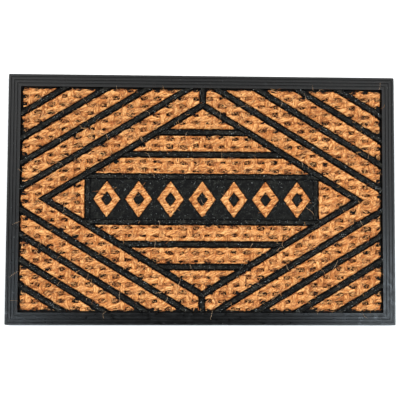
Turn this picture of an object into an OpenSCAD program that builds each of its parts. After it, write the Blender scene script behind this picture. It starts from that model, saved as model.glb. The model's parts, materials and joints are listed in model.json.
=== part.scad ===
// Door mat: panels of woven coir set in cells of moulded black rubber.
// A reeded border frames a large diamond, crossed ribs and diagonal ribs.
// Millimetres. Origin at the centre of the underside, +X along the long side,
// +Y to the back, +Z up. The pattern is symmetric about X = 0 and Y = 0.

/* [Mat] */
// Length of the mat, along X
mat_l = 700; // [680:5:740]
// Width of the mat, along Y
mat_w = 450; // [440:5:480]
// Width of the reeded border
border_w = 23; // [20:1:26]
// Number of reeds along each border strip
reeds = 4; // [3:1:6]
// Radius of the mat's corners
corner_r = 3; // [1:0.5:6]

/* [Heights] */
// Thickness of the rubber backing sheet
backing_t = 3; // [2:0.5:5]
// Height of the border's reeds above the floor
border_h = 10; // [8:0.5:14]
// Height of the ribs above the floor
rib_h = 9.5; // [7:0.5:14]
// Height of the rubber infill of the middle panel above the floor
infill_h = 8; // [6:0.5:12]
// Height of the coir above the floor
coir_h = 11; // [8:0.5:16]

/* [Ribs] */
// Width of a rib at its foot
rib_w = 10; // [8:0.5:12]
// Chamfer along the top edges of a rib
rib_chamfer = 2; // [0.5:0.1:3]
// Length of the diamond between the centre lines at its ends, along X
diamond_l = 566; // [550:2:580]
// Width of the diamond between the centre lines at its ends, along Y
diamond_w = 343; // [335:1:350]
// Spacing of the diagonal ribs, along Y
diagonal_pitch = 45; // [43:0.5:46]
// Spacing of the ribs that cross the diamond, along Y
cross_pitch = 40.5; // [39:0.5:42]
// Distance between the centre lines of the panel's end ribs
panel_l = 411; // [400:1:414]

/* [Coir] */
// Clearance between a coir panel and the ribs
gap = 0.8; // [0.4:0.1:1.5]
// Clearance between a coir panel and the border
edge_gap = 2; // [0.8:0.1:3]
// Length of a lozenge, along X
lozenge_l = 50; // [44:1:52]
// Height of a lozenge, along Y
lozenge_w = 68; // [60:1:70]
// Width of the coir round a lozenge's rubber stud
lozenge_stroke = 12.5; // [10:0.5:14]

/* [Hidden] */

rubber_dark = [0.10, 0.11, 0.11];
rubber_grey = [0.15, 0.16, 0.17];
coir_tan = [0.80, 0.55, 0.30];

// Small overlap that makes a cut run clear past a face
over = 1;
// Opening inside the border
window_l = mat_l - 2 * border_w;
window_w = mat_w - 2 * border_w;
// Diagonals climb at the slope of the diamond's sides
slope = diamond_w / diamond_l;
angle = atan(slope);
// Diagonal ribs in each quarter
diagonals = 4;
// Coir lozenges in the middle panel, one node each
lozenges = 7;
// Facets of a full turn of the mat's round corners
corner_facets = 32;

// Border reeds
reed_pitch = border_w / reeds;
groove_w = 1.4;
groove_depth = 1.2;
reed_chamfer = 0.7;

// Ribs that cross the diamond are numbered from its middle; the first bounds the middle panel
panel_rib = 1;
first_cross_rib = 2;
last_cross_rib = 3;
rail_y = cross_pitch * panel_rib;
panel_half_l = (panel_l - rib_w) / 2;
panel_half_w = rail_y - rib_w / 2;
lozenge_pitch = (2 * panel_half_l) / lozenges;
// Shrinks a lozenge so that its sides move in by the stroke
lozenge_slant = sqrt(pow(lozenge_l / 2, 2) + pow(lozenge_w / 2, 2));
lozenge_inset = lozenge_slant / (lozenge_l * lozenge_w / 4);

// Each diagonal line is y + slope * x = climb; this is its climb at the y axis
function climb(index) = diamond_w / 2 + index * diagonal_pitch;
// Change of climb that moves a diagonal sideways by d, measured squarely
function rise(d) = d / cos(angle);
// Height at which line number index crosses the diamond
function cross_y(index) = index * cross_pitch;
// Scale of a lozenge whose sides lie d inside the full one
function lozenge_scale(d) = 1 - d * lozenge_inset;

// ---------- outlines ----------

// Rectangle centred on the origin
module centred(l, w) { square([l, w], center = true); }

// Outline of the whole mat, with round corners
module mat_outline() {
  centred(mat_l - 2 * corner_r, mat_w);
  centred(mat_l, mat_w - 2 * corner_r);
  for (x = [-1, 1], y = [-1, 1])
    translate([x * (mat_l / 2 - corner_r), y * (mat_w / 2 - corner_r)])
      circle(corner_r, $fn = corner_facets);
}

// Opening inside the border, less a margin
module window(margin = 0) { centred(window_l - 2 * margin, window_w - 2 * margin); }

// Rhombus whose sides lie on the diagonals of the given climb
module rhombus(c) { polygon([[c / slope, 0], [0, c], [-c / slope, 0], [0, -c]]); }

// Part of a horizontal strip between two heights
module strip(low, high) { translate([-mat_l / 2, low]) square([mat_l, high - low]); }

// Lozenge of the middle panel, with its sides moved in by d
module lozenge(d = 0) {
  s = lozenge_scale(d) / 2;
  polygon([[lozenge_l * s, 0], [0, lozenge_w * s], [-lozenge_l * s, 0], [0, -lozenge_w * s]]);
}

// Places its children at each lozenge's centre
module at_lozenge(index) {
  translate([(index - (lozenges + 1) / 2) * lozenge_pitch, 0]) children();
}

// Band between two neighbouring diagonals in the back right quarter
module diagonal_band(index) {
  low = climb(index) + rise(rib_w / 2 + gap);
  high = climb(index + 1) - rise(rib_w / 2 + gap);
  intersection() {
    window(edge_gap);
    polygon([[0, low], [0, high], [high / slope, 0], [low / slope, 0]]);
  }
}

// Corner of the window outside the last diagonal in the back right quarter
module corner_cell() {
  low = climb(diagonals) + rise(rib_w / 2 + gap);
  intersection() {
    window(edge_gap);
    polygon([[0, low], [low / slope, low], [low / slope, 0]]);
  }
}

// Inside of the diamond, clear of its sides
module diamond_room(margin = 0) { rhombus(climb(0) - rise(rib_w / 2 + margin)); }

// ---------- solids ----------

// Coir panel standing on the backing sheet
module coir() {
  color(coir_tan) translate([0, 0, backing_t]) linear_extrude(coir_h - backing_t) children();
}

// Tall prism that clips a rib to an outline
module clip() { linear_extrude(coir_h + border_h) children(); }

// Rib along +X from the origin, chamfered along its top edges, standing on the backing
module rib(length) {
  half = rib_w / 2;
  rotate([90, 0, 90]) linear_extrude(length) polygon([
    [-half, backing_t], [half, backing_t],
    [half, rib_h - rib_chamfer], [half - rib_chamfer, rib_h],
    [-half + rib_chamfer, rib_h], [-half, rib_h - rib_chamfer]
  ]);
}

// Rib that crosses the whole mat at height y
module cross_rib(y) { translate([-mat_l / 2, y, 0]) rib(mat_l); }

// Rib down a diagonal of the back right quarter, long enough to be clipped
module diagonal_rib(index) {
  translate([0, climb(index), 0]) rotate([0, 0, -angle]) translate([-border_w, 0, 0]) rib(mat_l);
}

// Copies a back right solid into another quarter: sx and sy are 0, or 1 to mirror that way
module quarter(sx, sy) {
  if (sx == 1 && sy == 1) rotate([0, 0, 180]) children();
  else if (sx == 1) mirror([1, 0, 0]) children();
  else if (sy == 1) mirror([0, 1, 0]) children();
  else children();
}

// Profile of the border: reeds parted by grooves, u from the outer edge inward
module border_profile() {
  reed_points = [
    for (i = [0 : reeds - 1])
      let (near = i * reed_pitch + (i == 0 ? 0 : groove_w / 2),
           far = (i + 1) * reed_pitch - (i == reeds - 1 ? 0 : groove_w / 2),
           foot = border_h - groove_depth)
      each [[near, foot], [near + reed_chamfer, border_h], [far - reed_chamfer, border_h], [far, foot]]
  ];
  polygon(concat([[0, backing_t]], reed_points, [[border_w, backing_t]]));
}

// Border strip along the front edge of a mat of the given length and width, mitred at its ends
module border_strip(length, width) {
  translate([0, -width / 2, 0]) intersection() {
    translate([-length / 2, 0, 0]) rotate([90, 0, 90]) linear_extrude(length) border_profile();
    clip() polygon([
      [-length / 2, 0], [length / 2, 0],
      [length / 2 - border_w, border_w], [-length / 2 + border_w, border_w]
    ]);
  }
}

// Border strip turned to its own side of the mat, its corners rounded with the mat's
module border_side(turn, length, width) {
  color(rubber_grey) intersection() {
    rotate([0, 0, turn]) border_strip(length, width);
    clip() mat_outline();
  }
}

module backing_sheet() { color(rubber_dark) linear_extrude(backing_t) mat_outline(); }
module border_front() { border_side(0, mat_l, mat_w); }
module border_right() { border_side(90, mat_w, mat_l); }
module border_back() { border_side(180, mat_l, mat_w); }
module border_left() { border_side(270, mat_w, mat_l); }

// The diagonal ribs of one quarter, from the border's inner edge on one side to the next
module diagonal_ribs(sx, sy) {
  color(rubber_dark) quarter(sx, sy) for (i = [1 : diagonals]) intersection() {
    diagonal_rib(i);
    clip() window();
  }
}

// One side of the diamond, mitred at both ends
module diamond_side(sx, sy) {
  color(rubber_dark) quarter(sx, sy) intersection() {
    diagonal_rib(0);
    clip() square([mat_l / 2, mat_w / 2]);
  }
}

// Rib from the diamond's tip to the border
module centre_rib(sy) {
  color(rubber_dark) quarter(0, sy) difference() {
    rotate([0, 0, 90]) rib(window_w / 2);
    translate([0, 0, -over]) clip() rhombus(climb(0) + rise(rib_w / 2));
  }
}

// The two ribs that cross the diamond beyond the middle panel
module cross_ribs(sy) {
  color(rubber_dark) quarter(0, sy) for (i = [first_cross_rib : last_cross_rib]) intersection() {
    cross_rib(cross_y(i));
    clip() diamond_room();
  }
}

// Long rail along one side of the middle panel
module panel_rail(sy) {
  color(rubber_dark) quarter(0, sy) intersection() {
    cross_rib(rail_y);
    clip() diamond_room();
  }
}

// Short rib that closes one end of the middle panel
module panel_end(sx) {
  color(rubber_dark) quarter(sx, 0) intersection() {
    translate([panel_l / 2, -panel_half_w, 0]) rotate([0, 0, 90]) rib(2 * panel_half_w);
    clip() diamond_room();
  }
}

// Sunk rubber plate round the lozenges
module panel_infill() {
  color(rubber_dark) translate([0, 0, backing_t]) linear_extrude(infill_h - backing_t) difference() {
    centred(2 * panel_half_l, 2 * panel_half_w);
    for (i = [1 : lozenges]) at_lozenge(i) lozenge(-gap);
  }
}

// Rubber studs in the middle of the lozenges
module panel_studs() {
  color(rubber_dark) translate([0, 0, backing_t]) linear_extrude(infill_h - backing_t)
    for (i = [1 : lozenges]) at_lozenge(i) lozenge(lozenge_stroke + gap);
}

module coir_corner(sx, sy) { coir() quarter(sx, sy) corner_cell(); }
module coir_band(index, sx, sy) { coir() quarter(sx, sy) diagonal_band(index); }

// Coir between the diamond and the first diagonals, folded round the diamond's end
module coir_chevron(sx) {
  coir() quarter(sx, 0) intersection() {
    window(edge_gap);
    translate([rib_w / 2 + gap, -mat_w / 2]) square([mat_l, mat_w]);
    difference() {
      rhombus(climb(1) - rise(rib_w / 2 + gap));
      rhombus(climb(0) + rise(rib_w / 2 + gap));
    }
  }
}

// Coir strip between cross ribs number index and index + 1
module coir_strip(index, sy) {
  coir() quarter(0, sy) intersection() {
    diamond_room(gap);
    strip(cross_y(index) + rib_w / 2 + gap, cross_y(index + 1) - rib_w / 2 - gap);
  }
}

// Coir triangle in the diamond's tip
module coir_peak(sy) {
  coir() quarter(0, sy) intersection() {
    diamond_room(gap);
    strip(cross_y(last_cross_rib) + rib_w / 2 + gap, mat_w / 2);
  }
}

// Coir between the end of the middle panel and the diamond's end
module coir_end(sx) {
  coir() quarter(sx, 0) intersection() {
    diamond_room(gap);
    strip(-panel_half_w + gap, panel_half_w - gap);
    translate([(panel_l + rib_w) / 2 + gap, -mat_w / 2]) square([mat_l, mat_w]);
  }
}

// Coir lozenge round its stud
module coir_lozenge(index) {
  coir() at_lozenge(index) difference() {
    lozenge();
    lozenge(lozenge_stroke);
  }
}

backing_sheet();
border_front();
border_back();
border_left();
border_right();
diagonal_ribs(0, 0);  // diagonal_ribs_back_right
diagonal_ribs(1, 0);  // diagonal_ribs_back_left
diagonal_ribs(0, 1);  // diagonal_ribs_front_right
diagonal_ribs(1, 1);  // diagonal_ribs_front_left
diamond_side(0, 0);  // diamond_side_back_right
diamond_side(1, 0);  // diamond_side_back_left
diamond_side(0, 1);  // diamond_side_front_right
diamond_side(1, 1);  // diamond_side_front_left
centre_rib(0);  // centre_rib_back
centre_rib(1);  // centre_rib_front
cross_ribs(0);  // cross_ribs_back
cross_ribs(1);  // cross_ribs_front
panel_rail(0);  // panel_rail_back
panel_rail(1);  // panel_rail_front
panel_end(0);  // panel_end_right
panel_end(1);  // panel_end_left
panel_infill();
panel_studs();
coir_corner(0, 0);  // coir_corner_back_right
coir_corner(1, 0);  // coir_corner_back_left
coir_corner(0, 1);  // coir_corner_front_right
coir_corner(1, 1);  // coir_corner_front_left
coir_band(3, 0, 0);  // coir_outer_band_back_right
coir_band(3, 1, 0);  // coir_outer_band_back_left
coir_band(3, 0, 1);  // coir_outer_band_front_right
coir_band(3, 1, 1);  // coir_outer_band_front_left
coir_band(2, 0, 0);  // coir_middle_band_back_right
coir_band(2, 1, 0);  // coir_middle_band_back_left
coir_band(2, 0, 1);  // coir_middle_band_front_right
coir_band(2, 1, 1);  // coir_middle_band_front_left
coir_band(1, 0, 0);  // coir_inner_band_back_right
coir_band(1, 1, 0);  // coir_inner_band_back_left
coir_band(1, 0, 1);  // coir_inner_band_front_right
coir_band(1, 1, 1);  // coir_inner_band_front_left
coir_chevron(0);  // coir_chevron_right
coir_chevron(1);  // coir_chevron_left
coir_peak(0);  // coir_peak_back
coir_peak(1);  // coir_peak_front
coir_strip(2, 0);  // coir_far_strip_back
coir_strip(2, 1);  // coir_far_strip_front
coir_strip(1, 0);  // coir_near_strip_back
coir_strip(1, 1);  // coir_near_strip_front
coir_end(0);  // coir_end_right
coir_end(1);  // coir_end_left
coir_lozenge(1);  // coir_lozenge_1
coir_lozenge(2);  // coir_lozenge_2
coir_lozenge(3);  // coir_lozenge_3
coir_lozenge(4);  // coir_lozenge_4
coir_lozenge(5);  // coir_lozenge_5
coir_lozenge(6);  // coir_lozenge_6
coir_lozenge(7);  // coir_lozenge_7
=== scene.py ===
"""Looks of the door mat: woven coir panels with loose fibres, and moulded rubber, round the CAD frame."""

import json
import math

import bpy
import numpy as np
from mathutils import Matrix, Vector


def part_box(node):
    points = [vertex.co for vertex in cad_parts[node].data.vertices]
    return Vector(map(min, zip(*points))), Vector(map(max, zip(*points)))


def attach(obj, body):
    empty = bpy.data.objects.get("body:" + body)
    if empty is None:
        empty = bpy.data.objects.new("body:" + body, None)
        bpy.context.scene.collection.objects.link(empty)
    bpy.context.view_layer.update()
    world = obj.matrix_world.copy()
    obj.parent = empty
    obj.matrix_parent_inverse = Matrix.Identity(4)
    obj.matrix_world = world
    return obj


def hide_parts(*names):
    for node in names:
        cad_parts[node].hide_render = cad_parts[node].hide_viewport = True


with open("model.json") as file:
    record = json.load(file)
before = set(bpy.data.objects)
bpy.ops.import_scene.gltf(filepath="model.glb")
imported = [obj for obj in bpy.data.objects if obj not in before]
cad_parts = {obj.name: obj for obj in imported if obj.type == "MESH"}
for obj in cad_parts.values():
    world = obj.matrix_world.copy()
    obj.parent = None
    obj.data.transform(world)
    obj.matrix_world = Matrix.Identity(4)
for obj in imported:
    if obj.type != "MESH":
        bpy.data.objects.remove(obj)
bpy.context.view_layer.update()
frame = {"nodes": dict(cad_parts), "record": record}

# All lengths here are in millimetres, until a mesh is made or the scene is set up.
MM = 0.001
BACKING_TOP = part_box("backing_sheet")[1].z / MM
RIB_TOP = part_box("cross_ribs_back")[1].z / MM
BORDER_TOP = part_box("border_front")[1].z / MM
WINDOW_HALF_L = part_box("border_right")[0].x / MM
WINDOW_HALF_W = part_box("border_back")[0].y / MM

# The woven coir. Weft yarns run along X, warp yarns along Y, and each goes over and under the other.
WEFT_PITCH = 14.7
WARP_PITCH = 23.7
WEFT_HALF = 5.55
WARP_HALF = 5.6
WEFT_RISE = 3.3
WARP_RISE = 2.9
WEFT_LEAN = 0.42
WARP_LEAN = 0.30
WEFT_WAVE = 0.8
WARP_WAVE = 1.4
CLOTH_MIDDLE = 6.7
PLY_PITCH = 12.0
PLY_DIP = 0.38
PLY_SHIFT = 0.37
WIDTH_VARIES = 0.24
SQUEEZE = 0.23
WARP_ID = 200
NO_YARN = -1e3

# How far the weft is pressed together, by a word in the panel's name. It is 0 in the other panels.
FILL = {"lozenge": 4.0, "peak": 0.6, "strip": 0.6, "end": 0.6}

# How a panel's cloth is cut and how the rubber holds its edge.
GRID = 1.0
BORDER_REACH = 7.0
EDGE_FILL = 1.6
EDGE_FILL_DEPTH = 3.0
OUTERMOST_POINT = -0.45 * GRID
EDGE_POINTS = 1.3 * GRID
LEAST_FRAY = 0.2
MORE_FRAY = 0.9
LEAST_CORNER = 0.05
PINCH_DEPTH = 3.2
PINCHED_TOP = 6.9
PINCHED_UNDER = 6.3
LEAST_CLOTH = 0.25
OVER_BACKING = 0.05

# What the cloth's material reads: the painted shade of its hollows and creases, and what sets the yarns
# apart.
SHADE_BELOW = 9.3
SHADE_RANGE = 3.6
CREASE_SHADE = 0.6
YARN_STEP = 5.0

# Loose fibres: the area that has one, how many lie in a lock, and the hairs that stray over the rubber.
# A tone over 1 marks a hair, which is paler than the fibres in the cloth.
FIBRE_AREA = 6.8
FIBRE_DEPTH = 0.6
LOCK = 4
HOLE_LOCK = 2
HOLE_TOP = 5.5
SPARE_STARTS = 70
ALONG_WEFT = math.radians(20)
ALONG_WARP = math.radians(104)
OVER_OUTLINE = -0.4
REACHING_SHARE = 0.04
REACH = 9.0
HAIR_EVERY = 170.0
HAIR_ROOT = 5.0
HAIR_REACH = 19.0
HAIR_TONE = 1.1

rng = np.random.default_rng(41)
LATTICE_SIZE = 256
LATTICE = rng.random((LATTICE_SIZE, LATTICE_SIZE)) * 2 - 1

# The four corners of every quad, as places in a grid of points, in order round the quad.
LOW, HIGH = np.s_[:-1], np.s_[1:]
QUAD_CORNERS = ((LOW, LOW), (HIGH, LOW), (HIGH, HIGH), (LOW, HIGH))


# ---------- noise and the shape of the cloth ----------


def noise(x, y, size, layer=0):
    """Smooth value noise from -1 to 1, with features about size across."""
    gx = np.asarray(x) / size + 17.31 * layer
    gy = np.asarray(y) / size + 41.73 * layer
    ix, iy = np.floor(gx).astype(int), np.floor(gy).astype(int)
    fx, fy = gx - ix, gy - iy
    fx, fy = fx * fx * (3 - 2 * fx), fy * fy * (3 - 2 * fy)
    left, right = ix % LATTICE_SIZE, (ix + 1) % LATTICE_SIZE
    near, far = iy % LATTICE_SIZE, (iy + 1) % LATTICE_SIZE
    a, b = LATTICE[left, near], LATTICE[right, near]
    c, d = LATTICE[left, far], LATTICE[right, far]
    return (a + (b - a) * fx) * (1 - fy) + (c + (d - c) * fx) * fy


def yarn(along, across, index, half, middle, rise, lean, layer):
    """Top, underside and streak coordinates of one yarn, whose plies cross it at the slope lean."""
    half = half * (1 + WIDTH_VARIES * noise(along, index * 37.0, 8.0, layer))
    section = np.clip(1 - (across / half) ** 2, 0, None)
    wander = 0.5 * noise(along, across + index * 19.0, 9.0, layer + 1)
    turns = (along - across / lean) / PLY_PITCH + PLY_SHIFT * index + wander
    ply = np.abs(np.sin(math.pi * turns))
    lift = rise * np.sqrt(section) * (1 - PLY_DIP + PLY_DIP * ply**0.7)
    turn = math.atan(lean)
    u = along * math.cos(turn) + across * math.sin(turn)
    v = across * math.cos(turn) - along * math.sin(turn)
    v = v + 2.2 * noise(along, across + 5.0 * index, 8.0, layer + 2)
    # The strands are long and narrow, so the noise that raises them is squeezed across the yarn.
    strands = noise(u, v * 2.8, 7.0, layer + 3) + 0.5 * noise(u, v * 3.6, 5.0, layer + 5)
    top = middle + lift + strands * np.sqrt(section)
    return np.where(section > 0, top, NO_YARN), middle - lift, u, v


def laid_over(below, above):
    """What shows of two lists of values, the first of which is the height of the top."""
    higher = above[0] > below[0]
    return [np.where(higher, new, old) for new, old in zip(above, below)]


def cloth(x, y, filled=0.0):
    """The woven cloth at points: top, underside, streak coordinates u and v, yarn, whether weft shows."""
    nothing = np.zeros(x.shape)
    shown = [nothing + NO_YARN, nothing + CLOTH_MIDDLE, nothing, nothing, nothing, nothing == 0]
    # The yarns wander a little over the whole cloth, so the rows and columns never line up exactly.
    drift_x, drift_y = 3.0 * noise(x, y, 70.0, 21), 2.2 * noise(x, y, 55.0, 22)
    x, y = x + drift_x, y + drift_y
    for side in (-1, 0, 1):
        row = np.round(y / WEFT_PITCH) + side
        sway = 1.1 * noise(x, row * 29.0, 19.0, 1)
        shifted = x + 1.5 * noise(x, row * 23.0, 30.0, 4)
        squeeze = 1 + SQUEEZE * np.cos(2 * math.pi * shifted / WARP_PITCH)
        middle = CLOTH_MIDDLE + WEFT_WAVE * np.cos(math.pi * (x / WARP_PITCH + row))
        across = y - row * WEFT_PITCH - sway
        # The weft is pressed closer in some places than in others, so the holes differ in size.
        uneven = 1.3 * noise(x, y, 14.0, 23) + 0.9 * noise(x, y, 62.0, 24)
        half = (WEFT_HALF + filled + uneven) * squeeze
        weft = yarn(x, across, row, half, middle, WEFT_RISE, WEFT_LEAN, 7)
        shown = laid_over(shown, [*weft, row, True])
    for side in (-1, 0, 1):
        column = np.round(x / WARP_PITCH) + side
        phase = math.pi * (y / WEFT_PITCH + column)
        sway = 1.6 * noise(column * 31.0, y, 17.0, 2) - np.sin(phase)
        middle = CLOTH_MIDDLE - WARP_WAVE * np.cos(phase)
        across = x - column * WARP_PITCH - sway
        warp = yarn(y, -across, column + WARP_ID, WARP_HALF, middle, WARP_RISE, WARP_LEAN, 9)
        shown = laid_over(shown, [*warp, column + WARP_ID, False])
    return shown


# ---------- outlines of the CAD's coir panels ----------


def outline_loops(node):
    """The closed outlines of a CAD node's top face, as arrays of corners."""
    mesh = frame["nodes"][node].data
    top = max(v.co.z for v in mesh.vertices) - 1e-5
    edges = {}
    for face in mesh.polygons:
        if any(mesh.vertices[i].co.z <= top for i in face.vertices):
            continue
        keys = [tuple(round(c / MM, 3) for c in mesh.vertices[i].co.xy) for i in face.vertices]
        for a, b in zip(keys, keys[1:] + keys[:1]):
            if (b, a) in edges:
                del edges[(b, a)]
            else:
                edges[(a, b)] = True
    following = dict(edges.keys())
    loops = []
    while following:
        start = next(iter(following))
        loop, at = [start], following.pop(start)
        while at != start:
            loop.append(at)
            at = following.pop(at)
        loops.append(np.array(loop))
    return loops


def depth_inside(x, y, loops):
    """Distance in from the outline, negative outside, and the direction that leads inward."""
    best = np.full(x.shape, 1e9)
    nx, ny, inside = np.zeros(x.shape), np.zeros(x.shape), np.zeros(x.shape, bool)
    for loop in loops:
        for a, b in zip(loop, np.roll(loop, -1, axis=0)):
            d = b - a
            t = np.clip(((x - a[0]) * d[0] + (y - a[1]) * d[1]) / (d @ d), 0, 1)
            px, py = x - a[0] - t * d[0], y - a[1] - t * d[1]
            far = np.hypot(px, py)
            near = far < best
            best = np.where(near, far, best)
            nx, ny = np.where(near, px, nx), np.where(near, py, ny)
            crosses = (a[1] > y) != (b[1] > y)
            with np.errstate(divide="ignore", invalid="ignore"):
                at = a[0] + (y - a[1]) * d[0] / d[1]
            inside ^= crosses & (x < at)
    sign = np.where(inside, 1.0, -1.0)
    length = np.maximum(best, 1e-9)
    return best * sign, nx / length * sign, ny / length * sign


def area_of(loops):
    """Area inside the outlines, with holes taken off."""
    areas = []
    for loop in loops:
        after = np.roll(loop, -1, axis=0)
        areas.append(abs(0.5 * np.sum(loop[:, 0] * after[:, 1] - loop[:, 1] * after[:, 0])))
    return 2 * max(areas) - sum(areas)


# ---------- meshes from arrays ----------


def make_mesh(name, points, *face_arrays):
    """A smooth mesh object from points and arrays of faces, each array with its own number of corners."""
    mesh = bpy.data.meshes.new(name)
    face_arrays = [f for f in face_arrays if len(f)]
    loops = np.concatenate([f.ravel() for f in face_arrays]).astype(np.int32)
    sizes = np.concatenate([np.full(len(f), f.shape[1]) for f in face_arrays])
    mesh.vertices.add(len(points))
    mesh.vertices.foreach_set("co", (points * MM).astype(np.float32).ravel())
    mesh.loops.add(len(loops))
    mesh.loops.foreach_set("vertex_index", loops)
    mesh.polygons.add(len(sizes))
    starts = np.concatenate([[0], np.cumsum(sizes)[:-1]]).astype(np.int32)
    mesh.polygons.foreach_set("loop_start", starts)
    mesh.update(calc_edges=True)
    mesh.validate()
    mesh.polygons.foreach_set("use_smooth", np.ones(len(mesh.polygons), bool))
    piece = bpy.data.objects.new(name, mesh)
    bpy.context.scene.collection.objects.link(piece)
    return piece


def give_values(piece, name, values):
    """Stores one number or three per vertex for the material to read."""
    kind, field = ("FLOAT", "value") if values.ndim == 1 else ("FLOAT_VECTOR", "vector")
    attribute = piece.data.attributes.new(name, kind, "POINT")
    attribute.data.foreach_set(field, values.astype(np.float32).ravel())


# ---------- the cloth of one panel ----------


def set_back(x, y):
    """How far the ragged edge of the cloth stays in from the panel's outline: furthest along the border."""
    ragged = 0.35 + 0.6 * np.clip(noise(x, y, 9.0, 12), 0, 1)
    by_border = (np.abs(x) > WINDOW_HALF_L - BORDER_REACH) | (np.abs(y) > WINDOW_HALF_W - BORDER_REACH)
    return ragged + np.where(by_border, 1.0 + 1.5 * noise(x, y, 6.0, 13), 0.0).clip(0, None)


def without_scraps(quads):
    """The quads of the largest piece of cloth, without the scraps that no quad joins to it."""
    left = set(zip(*np.nonzero(quads)))
    largest = []
    while left:
        growing, island = [left.pop()], []
        while growing:
            i, j = growing.pop()
            island.append((i, j))
            for beside in ((i + 1, j), (i - 1, j), (i, j + 1), (i, j - 1)):
                if beside in left:
                    left.remove(beside)
                    growing.append(beside)
        if len(island) > len(largest):
            largest = island
    kept = np.zeros_like(quads)
    kept[tuple(np.array(largest).T)] = True
    return kept


def joined_quads(used):
    """The quads between used points. One that meets the others only at a corner or on one side goes."""
    quads = np.ones((used.shape[0] - 1, used.shape[1] - 1), bool)
    for corner in QUAD_CORNERS:
        quads &= used[corner]
    padded = np.pad(quads, 1).astype(int)
    beside = padded[2:, 1:-1] + padded[:-2, 1:-1] + padded[1:-1, 2:] + padded[1:-1, :-2]
    return without_scraps(quads & (beside > 1))


def unfolded(x, y, nx, ny, shift, quads):
    """How far each point may move along (nx, ny): its shift, halved for as long as it turns a quad over."""
    for _ in range(8):
        px, py = x + nx * shift, y + ny * shift
        turned = np.zeros(quads.shape, bool)
        for k, here in enumerate(QUAD_CORNERS):
            ahead, behind = QUAD_CORNERS[(k + 1) % 4], QUAD_CORNERS[k - 1]
            corner_area = (px[ahead] - px[here]) * (py[behind] - py[here])
            corner_area -= (py[ahead] - py[here]) * (px[behind] - px[here])
            turned |= quads & (corner_area < LEAST_CORNER)
        halved = np.zeros(shift.shape, bool)
        for corner in QUAD_CORNERS:
            halved[corner] |= turned
        shift = np.where(halved, shift / 2, shift)
    return shift


def closed_faces(quads, number, count):
    """Faces of the closed sheet over the quads: tops, bottoms, and a wall on each side with no neighbour."""
    a, b, c, d = (number[corner][quads] for corner in QUAD_CORNERS)
    tops = np.stack([a, b, c, d], 1)
    bottoms = np.stack([d, c, b, a], 1) + count
    padded = np.pad(quads, 1)
    sides = (
        (a, b, padded[1:-1, :-2]),
        (b, c, padded[2:, 1:-1]),
        (c, d, padded[1:-1, 2:]),
        (d, a, padded[:-2, 1:-1]),
    )
    walls = []
    for from_, to, neighbour in sides:
        is_open = ~neighbour[quads]
        walls.append(np.stack([to, from_, from_ + count, to + count], 1)[is_open])
    return [tops, bottoms, *walls]


def creases(yarn_id):
    """The points where the yarn that shows is not the one that shows at a point beside them."""
    found = np.zeros(yarn_id.shape, bool)
    for later, earlier in ((np.s_[1:], np.s_[:-1]), (np.s_[:, 1:], np.s_[:, :-1])):
        differs = yarn_id[later] != yarn_id[earlier]
        found[later] |= differs
        found[earlier] |= differs
    return found


def coir_panel(node):
    """The woven cloth cut to one CAD panel's outline: a closed mesh, with the weave's holes through it."""
    loops = outline_loops(node)
    corners = np.concatenate(loops)
    low, high = np.floor(corners.min(0) / GRID) - 1, np.ceil(corners.max(0) / GRID) + 1
    columns, rows = np.arange(low[0], high[0] + 1), np.arange(low[1], high[1] + 1)
    ix, iy = np.meshgrid(columns, rows, indexing="ij")
    x, y = ix * GRID, iy * GRID
    depth, nx, ny = depth_inside(x, y, loops)
    depth = depth - set_back(x, y)
    # The cloth inside the diamond is pressed closer than the rest, so its holes are smaller.
    filled = next((fill for word, fill in FILL.items() if word in node), 0.0)
    filled = filled + EDGE_FILL * (1 - np.clip(depth / EDGE_FILL_DEPTH, 0, 1))
    top, under, u, v, yarn_id, _ = cloth(x, y, filled)
    quads = joined_quads((depth > OUTERMOST_POINT) & (top > 0))
    meeting = np.zeros(x.shape, int)
    for corner in QUAD_CORNERS:
        meeting[corner] += quads
    # The points along the outline move onto it, and in a little where the edge is frayed.
    edge = (meeting > 0) & (meeting < 4) & (depth < EDGE_POINTS)
    fray = LEAST_FRAY + MORE_FRAY * np.clip(noise(x, y, 2.6, 11), 0, 1)
    shift = unfolded(x, y, nx, ny, np.where(edge, fray - depth, 0.0), quads)
    x, y, depth = x + nx * shift, y + ny * shift, depth + shift
    # Near the outline the rubber holds the cloth down, so its top falls and its underside rises.
    pinch = 1 - np.clip(depth / PINCH_DEPTH, 0, 1) ** 0.6
    top = top - pinch * np.clip(top - PINCHED_TOP, 0, None) * 0.72
    under = under + pinch * np.clip(PINCHED_UNDER - under, 0, None) * 0.8
    under = np.maximum(np.minimum(under, top - LEAST_CLOTH), BACKING_TOP + OVER_BACKING)
    shown = meeting > 0
    count = int(shown.sum())
    number = np.full(shown.shape, -1)
    number[shown] = np.arange(count)
    upper = np.stack([x[shown], y[shown], top[shown]], 1)
    lower = np.stack([x[shown], y[shown], under[shown]], 1)
    faces = closed_faces(quads, number, count)
    piece = make_mesh(node + "_cloth", np.concatenate([upper, lower]), *faces)
    streaks = np.stack([u[shown], v[shown], yarn_id[shown] * YARN_STEP], 1)
    give_values(piece, "streaks", np.concatenate([streaks, streaks]))
    # Painted shade: the top is darker where it lies low and along the creases between yarns, and the
    # underside is dark all over.
    hollow_shade = np.clip((SHADE_BELOW - top[shown]) / SHADE_RANGE, 0, 1)
    hollow_shade = hollow_shade + CREASE_SHADE * creases(yarn_id)[shown]
    give_values(piece, "hollow_shade", np.concatenate([hollow_shade, np.ones(count)]))
    return piece, loops


# ---------- loose fibres ----------


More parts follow.
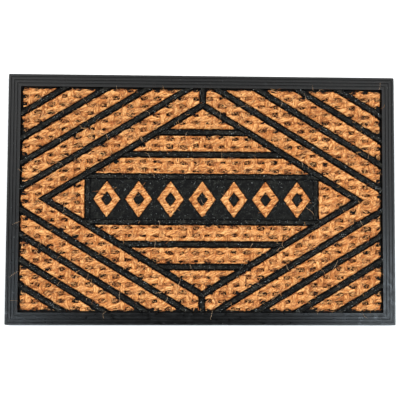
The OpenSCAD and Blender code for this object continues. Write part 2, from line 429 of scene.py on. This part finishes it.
def tubes(paths, radius):
    """Closed three-sided tubes along paths of shape (fibres, points, 3), tapered at their ends."""
    count, steps, _ = paths.shape
    ahead = np.gradient(paths, axis=1)
    ahead /= np.maximum(np.linalg.norm(ahead, axis=2, keepdims=True), 1e-9)
    side = np.cross(ahead, np.array([0.0, 0.0, 1.0]))
    side /= np.maximum(np.linalg.norm(side, axis=2, keepdims=True), 1e-9)
    lift = np.cross(side, ahead)
    taper = np.clip(1.15 - np.abs(np.linspace(-1, 1, steps)) ** 3, 0.15, 1)
    thick = radius[:, None, None] * taper[None, :, None]
    rings = []
    for turn in (math.radians(90), math.radians(210), math.radians(330)):
        rings.append(paths + thick * (math.cos(turn) * side + math.sin(turn) * lift))
    points = np.stack(rings, 2).reshape(-1, 3)
    number = np.arange(count * steps * 3).reshape(count, steps, 3)
    walls = []
    for k in range(3):
        n = (k + 1) % 3
        wall = [number[:, :-1, k], number[:, 1:, k], number[:, 1:, n], number[:, :-1, n]]
        walls.append(np.stack(wall, 2).reshape(-1, 4))
    caps = np.concatenate([number[:, 0, :], number[:, -1, ::-1]])
    return points, np.concatenate(walls), caps


def fibre_mesh(name, groups):
    """One mesh of all a panel's loose fibres, from groups of (paths, radius, tone)."""
    points, walls, caps, tones, base = [], [], [], [], 0
    for paths, radius, tone in groups:
        more, wall, cap = tubes(paths, radius)
        points.append(more)
        walls.append(wall + base)
        caps.append(cap + base)
        tones.append(np.repeat(tone, paths.shape[1] * 3))
        base += len(more)
    piece = make_mesh(name, np.concatenate(points), np.concatenate(walls), np.concatenate(caps))
    give_values(piece, "tone", np.concatenate(tones))
    return piece


def bent_paths(starts, heading, length, bend, steps=5):
    """Places along fibres that start at starts and turn by bend on their way."""
    along = np.linspace(0, 1, steps)
    sway = rng.normal(0, 0.35, (len(starts), 1)) * np.sin(2 * math.pi * along[None, :])
    angle = heading[:, None] + bend[:, None] * (along[None, :] - 0.5) + sway
    x = starts[:, :1] + np.cumsum(np.cos(angle), 1) * length[:, None] / steps
    y = starts[:, 1:] + np.cumsum(np.sin(angle), 1) * length[:, None] / steps
    return x, y, along


def locks(starts, heading, length, bend, size, spread):
    """Fibres in locks of size, side by side on one shared path: x, y, place along, and each one's lock."""
    lock = np.repeat(np.arange(len(starts)), size)
    count = len(lock)
    own = heading[lock] + np.radians(rng.normal(0, 5, count))
    offset = rng.normal(0, 1, (count, 2)) * spread
    ahead, aside = offset[:, 0] * 3, offset[:, 1]
    moved_x = ahead * np.cos(own) - aside * np.sin(own)
    moved_y = ahead * np.sin(own) + aside * np.cos(own)
    own_starts = starts[lock] + np.stack([moved_x, moved_y], 1)
    own_length = length[lock] * rng.uniform(0.7, 1.1, count)
    own_bend = bend[lock] + np.radians(rng.normal(0, 8, count))
    x, y, along = bent_paths(own_starts, own, own_length, own_bend)
    return x, y, along, lock


def yarn_fibres(starts, weft, loops):
    """Locks of fibre along the yarns that show at starts, some with ends that spring up a little."""
    count = len(starts)
    heading = np.where(weft, ALONG_WEFT, ALONG_WARP) + np.radians(rng.normal(0, 24, count))
    heading += math.pi * rng.integers(0, 2, count)
    bend = np.radians(rng.normal(0, 42, count))
    x, y, along, lock = locks(starts, heading, rng.uniform(6, 17, count), bend, LOCK, 0.55)
    tones = np.clip(rng.beta(0.8, 0.75, count)[lock] + rng.normal(0, 0.14, len(lock)), 0, 1)
    depth = depth_inside(x, y, loops)[0]
    ends_up = (2 * along[None, :] - 1) ** 2
    spring = np.clip(rng.normal(0.1, 0.35, len(lock)), 0, 1.6)[:, None] * ends_up
    top = cloth(x, y)[0]
    z = np.where(top > 0, top, CLOTH_MIDDLE + 0.3) + 0.15 + spring
    z = np.where(depth < 2.5, np.minimum(z, 8.6 + 0.5 * depth + spring), z)
    # Most fibres end at the outline. A few reach over it and lie on the rib.
    reach = np.where(rng.random(len(lock)) < REACHING_SHARE, -REACH, -0.7)
    stays = (depth > reach[:, None]).all(1)
    z = np.where(depth < OVER_OUTLINE, np.maximum(z, RIB_TOP + 0.5 + spring), z)
    paths = np.stack([x, y, z], 2)[stays]
    radius = rng.uniform(0.18, 0.38, len(paths)) + 0.3 * (rng.random(len(paths)) < 0.22)
    radius = np.where(depth[stays].min(1) < OVER_OUTLINE, 0.2, radius)
    return paths, radius, tones[stays]


def hole_fibres(starts, loops):
    """Pairs of fibres that cross the cloth's holes, below its top."""
    count = len(starts)
    heading = rng.uniform(0, 2 * math.pi, count)
    bend = np.radians(rng.normal(0, 50, count))
    starts = starts - rng.normal(0, 2.0, (count, 2))
    x, y, along, lock = locks(starts, heading, rng.uniform(5, 11, count), bend, HOLE_LOCK, 0.4)
    level = rng.uniform(4.4, 8.2, count)[lock][:, None]
    z = level + rng.normal(0, 1.6, count)[lock][:, None] * (along[None, :] - 0.5)
    z = np.clip(z, BACKING_TOP + 0.4, 9.2)
    stays = (depth_inside(x, y, loops)[0] > 0.1).all(1)
    paths = np.stack([x, y, z], 2)[stays]
    tones = rng.beta(1.6, 1.0, count)[lock][stays]
    return paths, rng.uniform(0.25, 0.5, len(paths)), tones


def stray_hairs(starts, loops):
    """Thin bent hairs that leave the panel from starts and lie over the ribs and the border beside it."""
    count = len(starts)
    _, inward_x, inward_y = depth_inside(starts[:, 0], starts[:, 1], loops)
    heading = np.arctan2(-inward_y, -inward_x) + np.radians(rng.normal(0, 50, count))
    bend = np.radians(rng.normal(0, 50, count))
    x, y, along = bent_paths(starts, heading, rng.uniform(9, 26, count), bend, steps=8)
    beside = (np.abs(x) > WINDOW_HALF_L) | (np.abs(y) > WINDOW_HALF_W)
    rest_on = np.maximum(cloth(x, y)[0], np.where(beside, BORDER_TOP, RIB_TOP))
    z = rest_on + 0.3 + rng.uniform(0, 0.9, count)[:, None] * along[None, :] ** 2
    on_mat = (np.abs(x) < WINDOW_HALF_L + HAIR_REACH) & (np.abs(y) < WINDOW_HALF_W + HAIR_REACH)
    stays = on_mat.all(1)
    kept = int(stays.sum())
    tones = HAIR_TONE + 0.4 * rng.beta(2.4, 0.9, kept)
    return np.stack([x, y, z], 2)[stays], rng.uniform(0.10, 0.18, kept), tones


def panel_fibres(node, loops):
    """All the loose fibres of one panel: along its yarns, across its holes and straying from its edge."""
    count = int(area_of(loops) / FIBRE_AREA / LOCK)
    corners = np.concatenate(loops)
    starts = rng.uniform(corners.min(0), corners.max(0), (count * SPARE_STARTS, 2))
    depth = depth_inside(starts[:, 0], starts[:, 1], loops)[0]
    inside = depth > FIBRE_DEPTH
    starts, depth = starts[inside], depth[inside]
    height, _, _, _, _, weft = cloth(starts[:, 0], starts[:, 1])
    outline = sum(np.linalg.norm(p - np.roll(p, 1, axis=0), axis=1).sum() for p in loops)
    hair_starts = starts[depth < HAIR_ROOT][: int(outline / HAIR_EVERY)]
    groups = [
        yarn_fibres(starts[:count], weft[:count], loops),
        hole_fibres(starts[height < HOLE_TOP][:count], loops),
        stray_hairs(hair_starts, loops),
    ]
    return fibre_mesh(node + "_fibres", groups)


# ---------- materials ----------

COIR_DARK = (0.115, 0.036, 0.011)
COIR_BROWN = (0.31, 0.092, 0.020)
COIR_TAN = (0.465, 0.166, 0.037)
COIR_STRAW = (0.74, 0.395, 0.150)
COIR_RUDDY = (0.44, 0.125, 0.026)
COIR_PALE = (0.86, 0.58, 0.36)
RUBBER_BLACK = (0.001, 0.001, 0.001)
RUBBER_SPECK = (0.42, 0.45, 0.44)


class Surface:
    """A new node material, with short ways to add and link the nodes that this scene uses."""

    def __init__(self, name):
        self.material = bpy.data.materials.new(name)
        self.material.use_nodes = True
        self.tree = self.material.node_tree
        self.shader = self.tree.nodes["Principled BSDF"]

    def add(self, kind, inputs=None, **settings):
        """A node with its settings and inputs, each input a socket to link or a value to set."""
        node = self.tree.nodes.new(kind)
        for key, value in settings.items():
            setattr(node, key, value)
        for key, value in (inputs or {}).items():
            if isinstance(value, bpy.types.NodeSocket):
                self.tree.links.new(value, node.inputs[key])
            else:
                node.inputs[key].default_value = value
        return node

    def place(self):
        return self.add("ShaderNodeTexCoord").outputs["Object"]

    def stored(self, name, output="Fac"):
        return self.add("ShaderNodeAttribute", attribute_name=name).outputs[output]

    def noise(self, place, scale, detail, roughness=0.5):
        inputs = {"Vector": place, "Scale": scale, "Detail": detail, "Roughness": roughness}
        return self.add("ShaderNodeTexNoise", inputs).outputs["Fac"]

    def stretched(self, place, factors):
        return self.add("ShaderNodeVectorMath", {0: place, 1: factors}, operation="MULTIPLY").outputs[0]

    def ranged(self, value, low, high, from_low=0.0, from_high=1.0):
        """The value mapped from from_low and from_high to low and high, and kept between them."""
        inputs = {"Value": value, "From Min": from_low, "From Max": from_high, "To Min": low, "To Max": high}
        return self.add("ShaderNodeMapRange", inputs).outputs["Result"]

    def total(self, base, *parts):
        """The base value and the (value, weight) parts, added up."""
        for value, weight in parts:
            inputs = {0: value, 1: weight, 2: base}
            base = self.add("ShaderNodeMath", inputs, operation="MULTIPLY_ADD").outputs[0]
        return base

    def ramp(self, factor, *stops):
        """A colour ramp over factor with stops of (position, linear colour)."""
        node = self.add("ShaderNodeValToRGB", {"Fac": factor})
        elements = node.color_ramp.elements
        for position, _ in stops[2:]:
            elements.new(position)
        for element, (position, colour) in zip(elements, stops):
            element.position = position
            element.color = (*colour, 1.0)
        return node.outputs["Color"]

    def mixed(self, factor, first, second):
        inputs = {"Fac": factor, "Color1": first, "Color2": (*second, 1.0)}
        return self.add("ShaderNodeMixRGB", inputs).outputs[0]

    def finish(self, colour, roughness, shine, height=None, relief=0.0, depth=0.0):
        """Links the colour, roughness and bump, sets the constant shine, and returns the material."""
        self.tree.links.new(colour, self.shader.inputs["Base Color"])
        if isinstance(roughness, bpy.types.NodeSocket):
            self.tree.links.new(roughness, self.shader.inputs["Roughness"])
        else:
            self.shader.inputs["Roughness"].default_value = roughness
        if height is not None:
            bump = self.add("ShaderNodeBump", {"Height": height, "Strength": relief, "Distance": depth * MM})
            self.tree.links.new(bump.outputs["Normal"], self.shader.inputs["Normal"])
        self.shader.inputs["Specular IOR Level"].default_value = shine
        return self.material


def coir_cloth_material():
    """Coir yarn: dark to straw along its strands, with painted shade in its creases and holes."""
    surface = Surface("coir_cloth")
    streaks = surface.stored("streaks", "Vector")
    strands = surface.stretched(streaks, (0.12, 1.6, 1.0))
    fine = surface.noise(strands, 1.0, 4.0, 0.65)
    wide = surface.noise(strands, 0.26, 3.0)
    blotch = surface.noise(surface.place(), 40.0, 4.0)
    # The painted shade of the hollows and creases, which darkens the tone.
    hollow_shade = surface.stored("hollow_shade")
    clumps = surface.noise(surface.stretched(streaks, (0.24, 0.62, 1.0)), 1.0, 2.0)
    # Painted shade: the narrow gaps between clumps of fibres are darker.
    clump_gap_shade = surface.ranged(clumps, -0.13, 0.0, 0.34, 0.44)
    tone = surface.total(clump_gap_shade, (fine, 0.52), (wide, 0.50), (blotch, 0.16), (hollow_shade, -0.13))
    colour = surface.ramp(
        tone, (0.385, COIR_DARK), (0.465, COIR_BROWN), (0.545, COIR_TAN), (0.655, COIR_STRAW)
    )
    return surface.finish(colour, surface.ranged(fine, 0.72, 0.92), 0.25, fine, 1.0, 0.9)


def coir_fibre_material():
    """Loose coir fibre: one tone for each fibre, mottled a little, ruddy in patches, and pale in hairs."""
    surface = Surface("coir_fibre")
    place = surface.place()
    patches = surface.noise(place, 260.0, 2.0)
    own_tone = surface.stored("tone")
    tone = surface.total(own_tone, (patches, 0.3))
    colour = surface.ramp(tone, (0.2, COIR_DARK), (0.4, COIR_BROWN), (0.66, COIR_TAN), (1.0, COIR_STRAW))
    ruddy = surface.ranged(surface.noise(place, 55.0, 3.0), 0.0, 0.5, 0.45, 0.7)
    colour = surface.mixed(ruddy, colour, COIR_RUDDY)
    pale = surface.ranged(own_tone, 0.0, 0.9, 1.05, 1.5)
    colour = surface.mixed(pale, colour, COIR_PALE)
    return surface.finish(colour, surface.ranged(patches, 0.55, 0.8), 0.35, patches, 0.3, 0.1)


def rubber_material(name, pale, roughness, shine, speck_level, relief):
    """Moulded rubber: mottled and grained, with painted light that makes its tops paler and painted shade
    that makes its slopes blacker, and pale specks.
    """
    surface = Surface(name)
    place = surface.place()
    normal = surface.add("ShaderNodeNewGeometry").outputs["True Normal"]
    upward = surface.add("ShaderNodeSeparateXYZ", {"Vector": normal}).outputs["Z"]
    # Painted light and shade: faces that point up take the pale colour, and the slopes go black.
    slope = surface.ranged(upward, -0.3, 0.0, 0.9, 0.995)
    mottle = surface.noise(place, 110.0, 5.0)
    grain = surface.noise(place, 420.0, 6.0, 0.6)
    specks = surface.noise(place, 540.0, 2.0)
    top_light_and_tone = surface.total(slope, (mottle, 0.7), (grain, 0.8))
    body = surface.ramp(top_light_and_tone, (0.71, RUBBER_BLACK), (0.95, pale))
    # Pale specks scattered at random over the rubber.
    speck = surface.ramp(specks, (speck_level, (0, 0, 0)), (speck_level + 0.06, (1, 1, 1)))
    colour = surface.mixed(speck, body, RUBBER_SPECK)
    rough = surface.ranged(mottle, roughness - 0.08, roughness + 0.1, 0.3, 0.7)
    height = surface.total(grain, (mottle, 0.5))
    return surface.finish(colour, rough, shine, height, relief, 0.5)


# ---------- building the mat ----------

coir_material, fibre_material = coir_cloth_material(), coir_fibre_material()
cells = sorted(n for n in frame["nodes"] if n.startswith("coir_"))
for cell in cells:
    cloth_piece, cell_loops = coir_panel(cell)
    cloth_piece.data.materials.append(coir_material)
    fibres = panel_fibres(cell, cell_loops)
    fibres.data.materials.append(fibre_material)
    for piece in (cloth_piece, fibres):
        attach(piece, "root")
    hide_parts(cell)

# Each rubber's pale colour, painted on its upward faces as light, its roughness, shine, speck level (more
# specks where it is lower) and relief.
RUBBER_LOOKS = {
    "backing_rubber": ((0.008, 0.008, 0.007), 0.75, 0.15, 0.76, 0.5),
    "border_rubber": ((0.006, 0.0068, 0.007), 0.33, 0.22, 0.75, 0.16),
    "rib_rubber": ((0.027, 0.025, 0.0195), 0.6, 0.06, 0.672, 0.8),
    "infill_rubber": ((0.015, 0.0155, 0.013), 0.65, 0.08, 0.70, 0.5),
}
rubber = {name: rubber_material(name, *look) for name, look in RUBBER_LOOKS.items()}
slot_of = {s["node"]: s["material_slot"] for s in frame["record"]["subparts"]}
for node, thing in frame["nodes"].items():
    if node in cells:
        continue
    thing.data.materials.clear()
    thing.data.materials.append(rubber[slot_of[node]])
    bevel = thing.modifiers.new("soft_edges", "BEVEL")
    bevel.width = 0.45 * MM
    bevel.segments = 2
    bevel.limit_method = "ANGLE"
    bevel.angle_limit = math.radians(25)


# ---------- floor, light and camera, in metres ----------

FLOOR_HALF = 40.0
COOL_WHITE = (0.78, 0.90, 1.0)
CAMERA_PLACE = (-0.0276, -0.0392, 1.0098)
CAMERA_TURN = (2.183, -1.361, 0.296)
CAMERA_LENS = 50


def lay_floor():
    """A plain pale floor under the mat."""
    corners = [(-1, -1, 0), (1, -1, 0), (1, 1, 0), (-1, 1, 0)]
    piece = make_mesh("floor", np.array(corners) * FLOOR_HALF / MM, np.array([[0, 1, 2, 3]]))
    surface = Surface("floor_paint")
    soft = surface.noise(surface.place(), 3.0, 2.0)
    colour = surface.ramp(soft, (0.3, (0.88, 0.88, 0.88)), (0.7, (0.9, 0.9, 0.9)))
    piece.data.materials.append(surface.finish(colour, 0.8, 0.1))


def lamp_object(name, kind, power, back):
    """A lamp of one kind that shines along the reverse of back."""
    lamp = bpy.data.lights.new(name, kind)
    lamp.energy = power
    thing = bpy.data.objects.new(name, lamp)
    bpy.context.scene.collection.objects.link(thing)
    thing.rotation_euler = Vector(back).to_track_quat("Z", "Y").to_euler()
    return thing


def sun_light(name, direction, softness, power):
    lamp_object(name, "SUN", power, direction).data.angle = math.radians(softness)


def area_light(name, place, size, power, colour=(1, 1, 1)):
    """A soft box at place that faces the middle of the mat."""
    thing = lamp_object(name, "AREA", power, place)
    thing.location = place
    thing.data.shape = "RECTANGLE"
    thing.data.size, thing.data.size_y = size
    thing.data.color = colour


def studio_world():
    """White surroundings that are bright near the horizon and dim overhead."""
    world = bpy.data.worlds.new("studio")
    world.use_nodes = True
    tree = world.node_tree
    toward = tree.nodes.new("ShaderNodeTexCoord")
    split = tree.nodes.new("ShaderNodeSeparateXYZ")
    fade = tree.nodes.new("ShaderNodeMapRange")
    for key, value in {"From Min": 0.25, "From Max": 0.6, "To Min": 1.1, "To Max": 0.15}.items():
        fade.inputs[key].default_value = value
    background = tree.nodes["Background"]
    background.inputs["Color"].default_value = (1, 1, 1, 1)
    tree.links.new(toward.outputs["Generated"], split.inputs["Vector"])
    tree.links.new(split.outputs["Z"], fade.inputs["Value"])
    tree.links.new(fade.outputs["Result"], background.inputs["Strength"])
    return world


lay_floor()
sun_light("key", (-0.75, 0.62, 0.95), 26, 2.05)
sun_light("fill", (0.9, 0.35, 0.9), 50, 1.25)
area_light("back_softbox", (0.0, 0.85, 2.4), (3.0, 0.7), 19)
area_light("left_softbox", (-1.05, 0.25, 2.4), (0.6, 1.4), 8)
area_light("right_softbox", (1.1, 0.2, 2.4), (0.5, 1.4), 6)
area_light("right_glare", (0.98, -0.42, 1.6), (0.35, 0.5), 15, colour=COOL_WHITE)
area_light("left_glare", (-0.99, -0.52, 1.6), (0.25, 0.35), 8, colour=COOL_WHITE)
bpy.context.scene.world = studio_world()
bpy.context.scene.view_settings.view_transform = "Standard"

camera = bpy.data.objects.new("camera", bpy.data.cameras.new("camera"))
bpy.context.scene.collection.objects.link(camera)
camera.data.lens = CAMERA_LENS
camera.location = CAMERA_PLACE
camera.rotation_euler = tuple(math.radians(a) for a in CAMERA_TURN)
bpy.context.scene.camera = camera

bpy.context.view_layer.update()
